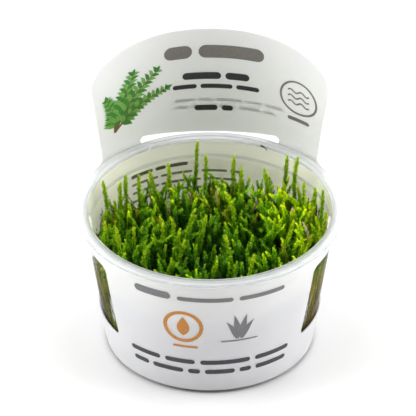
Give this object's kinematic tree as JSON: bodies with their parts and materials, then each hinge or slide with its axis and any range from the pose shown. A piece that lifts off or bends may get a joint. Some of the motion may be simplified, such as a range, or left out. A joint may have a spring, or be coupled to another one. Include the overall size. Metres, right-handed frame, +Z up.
{
  "type": "weeping moss tissue culture cup",
  "caption": "Weeping moss growing in a clear round tissue culture cup, inside a white sheet sleeve with a tall arched header behind.",
  "frame": {"origin": "centre of the cup's flat base, on the surface it stands on", "axes": "+Z up along the cup's axis, -Y towards the front, +Y towards the header, +X to the right seen from the front"},
  "size_m": [0.1, 0.1048, 0.101],
  "materials": {
    "cup": "clear, glossy",
    "sleeve": "white sheet, satin, slightly see-through",
    "gel": "wet clear gel",
    "moss": "soft, damp, fine-leaved",
    "shoot": "soft, fine-leaved, yellow-green"
  },
  "bodies": {
    "root": {"cup": "cup", "sleeve": "sleeve", "nutrient_gel": "gel", "moss_cushion": "moss", "moss_shoot_01": "shoot", "moss_shoot_02": "shoot", "moss_shoot_03": "shoot", "moss_shoot_04": "shoot", "moss_shoot_05": "shoot", "moss_shoot_06": "shoot", "moss_shoot_07": "shoot", "moss_shoot_08": "shoot", "moss_shoot_09": "shoot", "moss_shoot_10": "shoot", "moss_shoot_11": "shoot", "moss_shoot_12": "shoot", "moss_shoot_13": "shoot", "moss_shoot_14": "shoot", "moss_shoot_15": "shoot", "moss_shoot_16": "shoot", "moss_shoot_17": "shoot", "moss_shoot_18": "shoot", "moss_shoot_19": "shoot", "moss_shoot_20": "shoot", "moss_shoot_21": "shoot", "moss_shoot_22": "shoot", "moss_shoot_23": "shoot", "moss_shoot_24": "shoot"}
  },
  "joints": []
}
